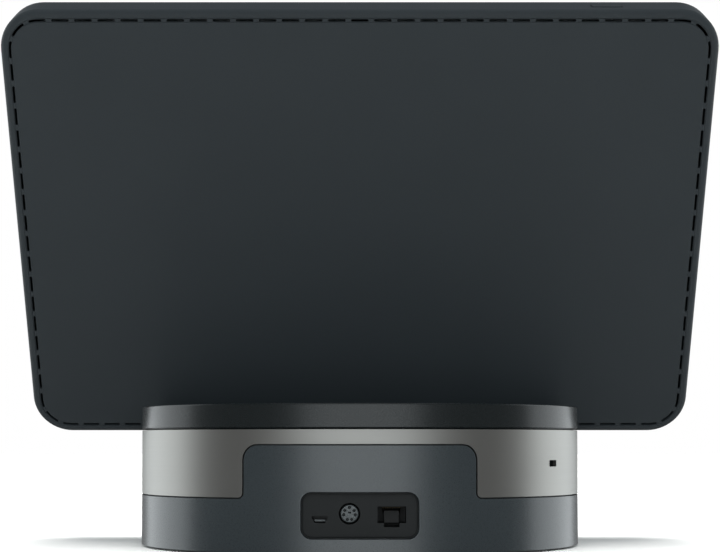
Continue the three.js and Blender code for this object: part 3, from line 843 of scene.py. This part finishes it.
def makeScreenFrame():
    low, high = nodeBox("screen_frame", onScreen)
    bm = bmesh.new()
    front = screenBox(bm, 0, low.y, keepFace=True)
    back = push(bm, [front], (0, high.y - low.y, 0), keep=True)[0]
    bevel(bm, back.edges, casing["rearRound"], 7)
    bevel(bm, flatFace(bm, low.y).edges, casing["frontRound"], 3)
    front = inset(bm, flatFace(bm, low.y), casing["wall"] - casing["frontRound"])
    deep = push(bm, [front], (0, high.y - casing["lip"] - low.y, 0))[0]
    inset(bm, deep, casing["rearLip"] - casing["wall"])
    back = inset(bm, flatFace(bm, high.y), casing["rearLip"] - casing["rearRound"])
    rims = list(deep.edges) + list(back.edges)
    bmesh.ops.delete(bm, geom=[deep, back], context="FACES_ONLY")
    bmesh.ops.bridge_loops(bm, edges=rims)
    soften(bm, casing["innerEdge"], segments=1, angle=60)
    piece = makeObject("screenFrame", bm)
    bm = bmesh.new()
    notchCutter(bm)
    buttonLow, buttonHigh = nodeBox("power_button", onScreen)
    x = (buttonLow.x + buttonHigh.x) / 2
    reach = button["width"] / 2 + button["gap"]
    rise = button["height"] / 2 + button["gap"]
    radius = button["radius"] + button["gap"]
    past = 5  # the cutter goes that far past the casing
    hole = bmesh.new()
    edges = centredBox(hole, x, button["y"], reach, rise, radius, -buttonLow.z, 5)
    push(hole, fillBetween(hole, edges), (0, buttonLow.z - buttonHigh.z - past, 0), keep=True)
    swapToPlan(hole)
    carve(piece, makeObject("notches", bm))
    carve(piece, makeObject("buttonHole", hole))
    settle(piece, onScreen, "screen", "casing_plastic", ["casing_plastic"], "screen_frame")


def makePowerButton():
    low, high = nodeBox("power_button", onScreen)
    x = (low.x + high.x) / 2
    collar = button["collar"]
    reach = button["width"] / 2 + collar
    rise = button["height"] / 2 + collar
    radius = button["radius"] + collar
    bm = bmesh.new()
    base = centredBox(bm, x, button["y"], reach, rise, radius, -low.z, 5, keepFace=True)
    top = push(bm, [base], (0, -button["collarDepth"], 0), keep=True)[0]
    inset(bm, top, collar)
    top = push(bm, [top], (0, low.z + button["collarDepth"] - high.z, 0))[0]
    bevel(bm, top.edges, button["edge"], 3)
    swapToPlan(bm)
    piece = makeObject("powerButton", bm)
    settle(piece, onScreen, "power_button", "casing_plastic", ["casing_plastic"], "power_button")


# a broken line of slots runs round the back cover, close to its edge

vent = {
    "inset": 4.5,  # from the edge of the screen to the middle of the line
    "width": 1.1,
    "length": 7.7,
    "count": 98,
    "flange": 3.75,  # the thin strip that holds the slots lies between these two distances
    "panel": 5.2,
    "edge": 0.4,
    "cuts": 6,
}


def ventLength():
    low, high = nodeBox("screen_frame", onScreen)
    straight = 2 * (high.x - low.x + high.z - low.z) - 8 * casing["radius"]
    return straight + 2 * math.pi * (casing["radius"] - vent["inset"])


def alongVents(distance, out):
    # the point that far along the line of slots from the middle of the bottom edge, and out from it
    low, high = nodeBox("screen_frame", onScreen)
    corner = casing["radius"]
    radius = corner - vent["inset"]
    arc = math.pi / 2 * radius
    wide = high.x - corner
    tall = high.z - low.z - 2 * corner
    bottom, top = low.z + corner, high.z - corner
    centres = [(wide, bottom), (wide, top), (-wide, top), (-wide, bottom)]
    distance %= ventLength()
    spot = Vector((0, low.z + vent["inset"]))
    heading = 0.0
    for i, run in enumerate([wide, tall, 2 * wide, tall, wide + 1e-6]):
        if distance <= run:
            forward = Vector((math.cos(heading), math.sin(heading)))
            return spot + forward * distance + Vector((forward.y, -forward.x)) * out
        distance -= run
        if distance <= arc:
            turn = heading - math.pi / 2 + distance / radius
            return Vector(centres[i]) + Vector((math.cos(turn), math.sin(turn))) * (radius + out)
        distance -= arc
        heading += math.pi / 2
        side = Vector((math.cos(heading - math.pi / 2), math.sin(heading - math.pi / 2)))
        spot = Vector(centres[i]) + side * radius
    return spot


def makeBackCover():
    low, high = nodeBox("back_cover", onScreen)
    level = nodeBox("screen_frame", onScreen)[1].y
    pitch = ventLength() / vent["count"]
    inner = vent["inset"] - vent["panel"]
    outer = vent["inset"] - vent["flange"]
    reach = vent["length"] / 2
    rise = vent["width"] / 2
    bm = bmesh.new()
    innerLine = bm.verts.layers.int.new("innerLine")
    edges = outline(bm, boxCorners(-pitch / 2, pitch / 2, inner, outer), [0] * 4, level)
    edges += centredBox(bm, 0, 0, reach, rise, rise * endRound, level, 4)
    fillBetween(bm, edges)
    for i in range(1, vent["cuts"]):
        cutAt(bm, (pitch * (i / vent["cuts"] - 0.5), 0, 0))
    for vert in bm.verts:
        vert[innerLine] = int(abs(vert.co.z - inner) < 1e-5)
    cell = bm.verts[:] + bm.edges[:] + bm.faces[:]
    for i in range(1, vent["count"]):
        made = bmesh.ops.duplicate(bm, geom=cell)["geom"]
        copied = [item for item in made if isinstance(item, bmesh.types.BMVert)]
        bmesh.ops.translate(bm, verts=copied, vec=(i * pitch, 0, 0))
    for vert in bm.verts:
        spot = alongVents(vert.co.x, vert.co.z)
        vert.co = (spot.x, level, spot.y)
    bmesh.ops.remove_doubles(bm, verts=bm.verts, dist=1e-3)
    line = [edge for edge in bm.edges if edge.is_boundary and all(vert[innerLine] for vert in edge.verts)]
    panel = bmesh.ops.edgeloop_fill(bm, edges=line)["faces"][0]
    push(bm, bm.faces[:], (0, low.y - level, 0), keep=True)
    top = push(bm, [panel], (0, high.y - level, 0))[0]
    bevel(bm, top.edges, vent["edge"], 2)
    piece = makeObject("backCover", bm)
    bm = bmesh.new()
    notchCutter(bm)
    carve(piece, makeObject("notches", bm))
    settle(piece, onScreen, "screen", "casing_plastic", ["casing_plastic"], "back_cover")


glass = {
    "inset": 2.25,
    "edge": 0.35,
    "windowHalf": 128.0,
    "windowLow": 16.0,
    "windowHigh": 160.0,
    "windowRadius": 0.6,
    "cameraRadius": 2.0,
}


def makeFrontGlass():
    low, high = nodeBox("front_glass", onScreen)
    lensLow, lensHigh = nodeBox("camera_lens", onScreen)
    bm = bmesh.new()
    window = roundedBox(
        bm,
        -glass["windowHalf"],
        glass["windowHalf"],
        glass["windowLow"],
        glass["windowHigh"],
        glass["windowRadius"],
        low.y,
        3,
        keepFace=True,
    )
    lens = (lensLow + lensHigh) / 2
    cameraEdges = circle(bm, lens.x, lens.z, glass["cameraRadius"], low.y)
    cameraSpot = bmesh.ops.edgeloop_fill(bm, edges=cameraEdges)["faces"][0]
    edges = screenBox(bm, glass["inset"], low.y) + list(window.edges) + list(cameraSpot.edges)
    ink = fillBetween(bm, edges)
    window.material_index = 1
    cameraSpot.material_index = 1
    push(bm, ink + [window, cameraSpot], (0, high.y - low.y, 0), keep=True)
    soften(bm, glass["edge"], segments=3, angle=60)
    piece = makeObject("frontGlass", bm)
    settle(piece, onScreen, "screen", "cover_glass", ["cover_glass", "screen_window"], "front_glass")


# sockets at the back

lan = {
    "x": -13.3,
    "low": 13.4,
    "high": 20.3,
    "width": 11.9,
    "tabWidth": 6.4,
    "tabLow": 11.7,
    "corner": 0.25,
    "innerCorner": 0.15,
    "depth": 12.0,
    "stop": (-16.6, -10.0, 13.0, 18.4, 6.0),  # low and high x, low and high z, and how far back its face is
    "pins": 8,
    "pinPitch": 1.02,
    "pinRadius": 0.2,
}
din = {
    "x": 4.3,
    "z": 17.3,
    "bore": 4.5,
    "core": 3.65,
    "coreEdge": 0.3,
    "depth": 8.0,
    "hole": 0.7,
    "holeDepth": 5.0,
    "sideHoles": [(1.95, 1.4), (2.4, -0.45), (0.9, -2.35)],
    "topHole": 2.6,
    "key": (0.6, 0.35, 0.15),  # half width, half height, corner
    "keyRise": 0.5,
}
usb = {
    "x": 16.7,
    "z": 14.9,
    "width": 6.6,
    "height": 2.9,
    "narrow": 0.9,
    "corner": 0.3,
    "depth": 7.0,
    "shell": 0.4,
}
tray = {
    "rim": 2.0,  # from the housing's face in to the crest of the rim
    "lip": 1.0,
    "thickness": 1.6,
    "edge": 0.12,
    "slice": 2.1,
}
block = {"corner": 0.5, "stopCorner": 0.4, "stopRoot": 0.5, "stopEdge": 0.3}


def lanOpening(bm, level):
    wide = lan["width"] / 2
    tab = lan["tabWidth"] / 2
    x = lan["x"]
    corners = [
        (x - wide, lan["low"]),
        (x - tab, lan["low"]),
        (x - tab, lan["tabLow"]),
        (x + tab, lan["tabLow"]),
        (x + tab, lan["low"]),
        (x + wide, lan["low"]),
        (x + wide, lan["high"]),
        (x - wide, lan["high"]),
    ]
    radii = [lan["corner"]] * 8
    radii[1] = radii[4] = lan["innerCorner"]
    return outline(bm, corners, radii, level, 3, keepFace=True)


def usbOpening(bm, level, grow=0.0):
    wide = usb["width"] / 2 + grow
    rise = usb["height"] / 2 + grow
    step = usb["narrow"]
    x, z = usb["x"], usb["z"]
    corners = [
        (x - wide + step, z - rise),
        (x + wide - step, z - rise),
        (x + wide - step, z - rise / 2),
        (x + wide, z + rise / 4),
        (x + wide, z + rise),
        (x - wide, z + rise),
        (x - wide, z + rise / 4),
        (x - wide + step, z - rise / 2),
    ]
    return outline(bm, corners, [usb["corner"]] * 8, level, 3, keepFace=True)


def dinOpening(bm, level):
    edges = circle(bm, din["x"], din["z"], din["bore"], level, 48)
    return bmesh.ops.edgeloop_fill(bm, edges=edges)["faces"][0]


def makeSocketTray():
    low = nodeBox("socket_tray")[0]
    floorLevel = low.y + tray["thickness"]
    crest = floorLevel + tray["lip"]
    half = recess["halfWidth"] - recess["gap"]
    bm = bmesh.new()
    back = roundedBox(
        bm,
        -half,
        half,
        recess["low"] + recess["gap"],
        recess["high"] - recess["gap"],
        recess["radius"] - recess["gap"],
        low.y,
        10,
        keepFace=True,
    )
    front = push(bm, [back], (0, crest - low.y, 0), keep=True)[0]
    inset(bm, front, recess["wall"])
    push(bm, [front], (0, floorLevel - crest, 0))
    count = int(half / tray["slice"])
    for i in range(-count, count + 1):
        cutAt(bm, (tray["slice"] * i, 0, 0))
    for vert in bm.verts:  # the crest of the rim follows the curve of the housing
        if abs(vert.co.y - crest) < 1e-4:
            vert.co.y = onOval(arcAt(max(abs(vert.co.x), 1e-3)))[1] - tray["rim"]
    above = floorLevel + 0.1
    soften(bm, tray["edge"], angle=55, test=lambda edge: min(vert.co.y for vert in edge.verts) > above)
    piece = makeObject("socketTray", bm)
    bm = bmesh.new()
    for opening in (lanOpening, usbOpening, dinOpening):
        push(bm, [opening(bm, low.y - 1)], (0, tray["thickness"] + 2, 0), keep=True)
    carve(piece, makeObject("openings", bm))
    # the tray takes the bay's ABS, darkened as painted shade of the recess
    settle(piece, onTable, "base", "inner_plastic", ["bay_plastic_and_shade"], "socket_tray")


def makeSocketBlock(name, node, opening, depth, stop=None):
    # a moulded block with a deep opening in its face, and a stop for the plug at the back of it
    low, high = nodeBox(node)
    bm = bmesh.new()
    mouth = opening(bm, high.y)
    edges = roundedBox(bm, low.x, high.x, low.z, high.z, block["corner"], high.y, 3)
    push(bm, fillBetween(bm, edges + list(mouth.edges)) + [mouth], (0, low.y - high.y, 0), keep=True)
    push(bm, [mouth], (0, -depth, 0))
    if stop:
        x0, x1, z0, z1, reach = stop
        root = depth + block["stopRoot"]
        face = roundedBox(bm, x0, x1, z0, z1, block["stopCorner"], high.y - root, 3, keepFace=True)
        face.material_index = 1
        face = push(bm, [face], (0, root - reach, 0), keep=True)[0]
        bevel(bm, face.edges, block["stopEdge"], 2)
    piece = makeObject(name, bm)
    # the opening's walls take black nylon darkened as painted shade, and the plug stop the bay's ABS
    # darkened as painted shade
    settle(piece, onTable, "base", "inner_plastic", ["deep_nylon_and_shade", "bay_plastic_and_shade"], node)


def makeUsbShell():
    low, high = nodeBox("usb_socket")
    bm = bmesh.new()
    mouth = usbOpening(bm, high.y)
    outer = usbOpening(bm, high.y, usb["shell"])
    edges = list(outer.edges)
    bmesh.ops.delete(bm, geom=[outer], context="FACES_ONLY")
    push(bm, fillBetween(bm, edges + list(mouth.edges)) + [mouth], (0, low.y - high.y, 0), keep=True)
    push(bm, [mouth], (0, -usb["depth"], 0))
    piece = makeObject("usbShell", bm)
    settle(piece, onTable, "base", "steel", ["usb_shell"], "usb_socket")


def rimEdges(bm, x, z, level, reach):
    # the edges at that Y that lie further than reach from the point
    return [
        edge
        for edge in bm.edges
        if all(
            abs(vert.co.y - level) < 1e-4 and math.hypot(vert.co.x - x, vert.co.z - z) > reach
            for vert in edge.verts
        )
    ]


def makeDinCore():
    low, high = nodeBox("din_core")
    bm = bmesh.new()
    edges = circle(bm, din["x"], din["z"], din["core"], high.y, 48)
    mouths = []
    holes = [(0, din["topHole"])] + [(hand * dx, dz) for dx, dz in din["sideHoles"] for hand in (-1, 1)]
    for dx, dz in holes:
        hole = circle(bm, din["x"] + dx, din["z"] + dz, din["hole"], high.y, 14)
        mouths.append(bmesh.ops.edgeloop_fill(bm, edges=hole)["faces"][0])
    x, z = din["x"], din["z"] + din["keyRise"]
    wide, tall, corner = din["key"]
    mouths.append(centredBox(bm, x, z, wide, tall, corner, high.y, 2, keepFace=True))
    for mouth in mouths:
        edges += list(mouth.edges)
    push(bm, fillBetween(bm, edges) + mouths, (0, low.y - high.y, 0), keep=True)
    push(bm, mouths, (0, -din["holeDepth"], 0))
    rim = rimEdges(bm, x, din["z"], high.y, din["core"] - 0.01)
    bevel(bm, rim, din["coreEdge"], 3)
    piece = makeObject("dinCore", bm)
    settle(piece, onTable, "base", "casing_plastic", ["socket_insert"], "din_core")


def tube(name, points, radius, place, body, slotName, *replaced, sides=4):
    # a round wire or lead through the points
    data = bpy.data.curves.new(name, "CURVE")
    data.dimensions = "3D"
    data.bevel_depth = radius
    data.bevel_resolution = sides
    data.resolution_u = 8
    data.use_fill_caps = True
    for row in points:
        spline = data.splines.new("BEZIER")
        spline.bezier_points.add(len(row) - 1)
        for point, spot in zip(spline.bezier_points, row):
            point.co = spot
            point.handle_left_type = point.handle_right_type = "AUTO"
    holder = bpy.data.objects.new(name, data)
    bpy.context.collection.objects.link(holder)
    depsgraph = bpy.context.evaluated_depsgraph_get()
    mesh = bpy.data.meshes.new_from_object(holder.evaluated_get(depsgraph))
    bpy.data.objects.remove(holder)
    bm = bmesh.new()
    bm.from_mesh(mesh)
    bmesh.ops.remove_doubles(bm, verts=bm.verts, dist=1e-3)
    piece = makeObject(name, bm)
    settle(piece, place, body, slotName, [slotName], *replaced)


def makeContacts():
    # spring wires that slope up to the roof of the opening
    low, high = nodeBox("lan_contacts")
    rows = []
    for i in range(lan["pins"]):
        x = lan["x"] + (i - (lan["pins"] - 1) / 2) * lan["pinPitch"]
        wire = [
            (x, low.y, high.z - 2.4),
            (x, low.y + 1.2, high.z - 2.3),
            (x, high.y - 2.2, high.z - 0.5),
            (x, high.y - 0.4, high.z - 0.25),
        ]
        rows.append(wire)
    radius = lan["pinRadius"]
    tube("lanContacts", rows, radius, onTable, "base", "contact_gold", "lan_contacts", sides=2)


leadRadius = 1.5


def makeLeads():
    # one lead in two pieces that meet on the tilt axis
    y, z = tiltAxis.y / mm, tiltAxis.z / mm
    x = deck["leadX"]
    lower = [
        (-20, 50, 12.3),
        (-20, 40, 12.3),
        (-19, 22, 13),
        (-14, 0, 18),
        (-9, -24, 28),
        (x, y, 40),
        (x, y, 50),
        (x, y, 59),
        (x + 1.8, y, z - 2.2),
        (x + 5, y, z),
        (x + 8, y, z),
    ]
    upper = [
        (0.5, 0, 0),
        (3.5, 0, 0),
        (7.5, 0, 2.4),
        (9.5, 0, 8),
        (10, 0.1, 20),
        (10, 0.2, 32),
        (10, 0.2, 46),
    ]
    tube("leadLower", [lower], leadRadius, onTable, "base", "lead_rubber", "lead_lower")
    tube("leadUpper", [upper], leadRadius, onScreen, "screen", "lead_rubber", "lead_upper")


# hinge arms: a steel plate with an eye on the tilt axis and a foot on the chassis

arm = {
    "width": 5.0,
    "eye": 6.2,
    "bore": 2.7,
    "neckHalf": 4.5,
    "neckEnd": 0.5,  # above the underside of the foot
    "edge": 0.45,
    "footHalf": (11.0, 6.0),
    "foot": 2.0,
    "footCorner": 1.5,
    "footEdge": 0.3,
}


def makeHingeArm(name, node):
    low, high = nodeBox(node)
    x = (low.x + high.x) / 2
    axisZ = tiltAxis.z / mm
    bm = bmesh.new()
    side = arm["width"] / 2
    edges = circle(bm, 0, 0, arm["eye"], -side, 56)
    shoulder = -math.sqrt(arm["eye"] ** 2 - arm["neckHalf"] ** 2)
    for vert in {vert for edge in edges for vert in edge.verts}:
        if vert.co.z < shoulder:
            # the lower part of the circle is drawn down as the neck
            vert.co.z = low.z + arm["neckEnd"] - axisZ
    edges += circle(bm, 0, 0, arm["bore"], -side, 32)
    push(bm, fillBetween(bm, edges), (0, arm["width"], 0), keep=True)
    soften(bm, arm["edge"], angle=50)
    bmesh.ops.rotate(bm, cent=(0, 0, 0), matrix=Matrix.Rotation(math.pi / 2, 3, "Z"), verts=bm.verts)
    bmesh.ops.translate(bm, vec=(x, tiltAxis.y / mm, axisZ), verts=bm.verts)
    plate = bmesh.new()
    wide, deep = arm["footHalf"]
    y = tiltAxis.y / mm
    face = centredBox(plate, x, y, wide, deep, arm["footCorner"], -low.z, 4, keepFace=True)
    push(plate, [face], (0, -arm["foot"], 0), keep=True)
    soften(plate, arm["footEdge"], angle=50)
    swapToPlan(plate)
    mesh = bpy.data.meshes.new("armFoot")
    plate.to_mesh(mesh)
    plate.free()
    bm.from_mesh(mesh)
    bpy.data.meshes.remove(mesh)
    piece = makeObject(name, bm)
    settle(piece, onTable, "base", "steel", ["steel"], node)


# underside

under = {"wellRadius": 8.3, "wellDepth": 1.0, "sinkRadius": 3.4, "sinkDepth": 1.2, "edge": 0.3}
foot = {"edge": 0.5, "ringOuter": 5.6, "ringInner": 4.8, "ring": 0.3}
screw = {
    "head": 0.8,
    "edge": 0.2,
    "crossReach": 1.7,
    "crossHalf": 0.35,
    "crossDepth": 0.45,
    "shank": 1.5,
    "shankFrom": 0.7,
}


def nodeMiddle(node):
    low, high = nodeBox(node)
    return (low.x + high.x) / 2, (low.y + high.y) / 2


def makeBasePlate():
    low, high = nodeBox("base_plate")
    bm = bmesh.new()
    edges = planOval(bm, oval["halfWidth"] - high.x, -low.z)
    wells = []
    for nodes, kind in (("foot_", "well"), ("base_screw_", "sink")):
        for i in range(1, 5):
            x, y = nodeMiddle(f"{nodes}{i}")
            hole = circle(bm, x, y, under[kind + "Radius"], -low.z, 40)
            face = bmesh.ops.edgeloop_fill(bm, edges=hole)["faces"][0]
            wells.append((face, under[kind + "Depth"]))
            edges += hole
    faces = fillBetween(bm, edges) + [face for face, depth in wells]
    push(bm, faces, (0, low.z - high.z, 0), keep=True)
    for face, depth in wells:
        push(bm, [face], (0, -depth, 0))
    below = -low.z - 0.01
    soften(bm, under["edge"], angle=50, test=lambda edge: max(vert.co.y for vert in edge.verts) > below)
    swapToPlan(bm)
    piece = makeObject("basePlate", bm)
    settle(piece, onTable, "base", "inner_plastic", ["inner_plastic"], "base_plate")


def makeFeet():
    for i in range(1, 5):
        node = f"foot_{i}"
        low, high = nodeBox(node)
        x, y = nodeMiddle(node)
        bm = bmesh.new()
        bmesh.ops.create_circle(
            bm,
            cap_ends=True,
            segments=48,
            radius=(high.x - low.x) / 2,
            matrix=Matrix.Translation((x, y, low.z)),
        )
        sole = bm.faces[:][0]
        push(bm, [sole], (0, 0, high.z - low.z), keep=True)
        bevel(bm, sole.edges, foot["edge"], 3)
        sole = min(bm.faces, key=lambda face: face.calc_center_median().z - face.calc_area())
        inset(bm, sole, (high.x - low.x) / 2 - foot["edge"] - foot["ringOuter"])
        wide = foot["ringOuter"] - foot["ringInner"]
        ring = bmesh.ops.inset_region(bm, faces=[sole], thickness=wide)["faces"]
        push(bm, ring, (0, 0, foot["ring"]))
        piece = makeObject(f"foot{i}", bm)
        settle(piece, onTable, "base", "foot_rubber", ["foot_rubber"], node)


def makeBaseScrews():
    for i in range(1, 5):
        node = f"base_screw_{i}"
        low, high = nodeBox(node)
        x, y = nodeMiddle(node)
        bm = bmesh.new()
        a, b = screw["crossReach"], screw["crossHalf"]
        arms = [(-a, -b), (-b, -b), (-b, -a), (b, -a), (b, -b), (a, -b)]
        corners = arms + [(-u, -v) for u, v in arms]
        cross = outline(bm, [(x + u, y + v) for u, v in corners], [0] * 12, -low.z, keepFace=True)
        head = circle(bm, x, y, (high.x - low.x) / 2, -low.z, 32)
        ring = fillBetween(bm, head + list(cross.edges))
        push(bm, ring + [cross], (0, -screw["head"], 0), keep=True)
        push(bm, [cross], (0, -screw["crossDepth"], 0))
        rim = rimEdges(bm, x, y, -low.z, a + 0.2)  # past the ends of the cross
        bevel(bm, rim, screw["edge"], 2)
        swapToPlan(bm)
        start = low.z + screw["shankFrom"]
        bottom = bmesh.ops.create_circle(
            bm,
            cap_ends=True,
            segments=16,
            radius=screw["shank"],
            matrix=Matrix.Translation((x, y, start)),
        )
        disc = bottom["verts"][0].link_faces[0]
        push(bm, [disc], (0, 0, high.z - start), keep=True)
        piece = makeObject(f"baseScrew{i}", bm)
        settle(piece, onTable, "base", "steel", ["steel"], node)


ovalTable()
makeLowerHousing()
makeMetalBand()
makeTopCap()
makeTopDeck()
print("base casings made")
makeScreenFrame()
makePowerButton()
makeBackCover()
makeFrontGlass()
print("screen casings made")
makeSocketTray()
makeSocketBlock("lanSocket", "lan_socket", lanOpening, lan["depth"], lan["stop"])
makeSocketBlock("dinSocket", "din_socket", dinOpening, din["depth"])
makeUsbShell()
makeDinCore()
makeContacts()
print("sockets made")
makeLeads()
makeHingeArm("hingeArmLeft", "hinge_arm_left")
makeHingeArm("hingeArmRight", "hinge_arm_right")
makeBasePlate()
makeFeet()
makeBaseScrews()
print("hinge, leads and underside made")


# everything from the frame that still shows takes its own finish

slots = {row["node"]: row["material_slot"] for row in frame["record"]["subparts"]}
slots["usb_tongue"] = "socket_insert"
slots["lock_plate"] = "alloy"
for nodeName, node in frame["nodes"].items():
    for i in range(len(node.material_slots)):
        node.material_slots[i].material = finishes[slots[nodeName]]

makeCamera()
makeLights()
makeWorld()
makeFloor()
bpy.context.scene.view_settings.view_transform = "Standard"
print("studio ready")
